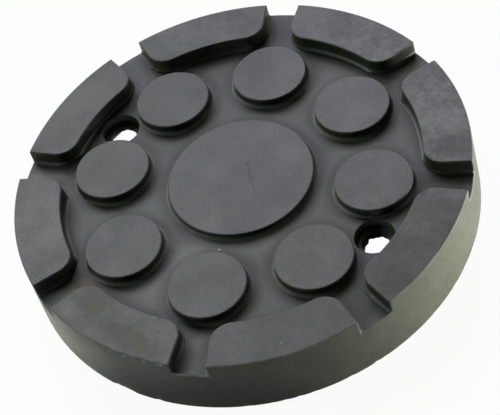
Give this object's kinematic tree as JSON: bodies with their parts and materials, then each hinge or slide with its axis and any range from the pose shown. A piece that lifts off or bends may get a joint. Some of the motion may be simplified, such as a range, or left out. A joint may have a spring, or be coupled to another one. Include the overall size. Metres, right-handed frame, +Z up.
{
  "type": "rubber pad",
  "caption": "Round cap-shaped rubber pad with a tread of rim blocks, round studs and a central boss, a plate recess beneath and counterbored screw holes.",
  "frame": {"origin": "on the pad's axis, at the foot of the skirt", "axes": "+Z up out of the tread, +X through one of the screw holes"},
  "size_m": [0.12, 0.12, 0.018],
  "materials": {
    "rubber": "matt moulded black-grey rubber, worn"
  },
  "bodies": {
    "root": {"rubber_pad": "rubber"}
  },
  "joints": []
}
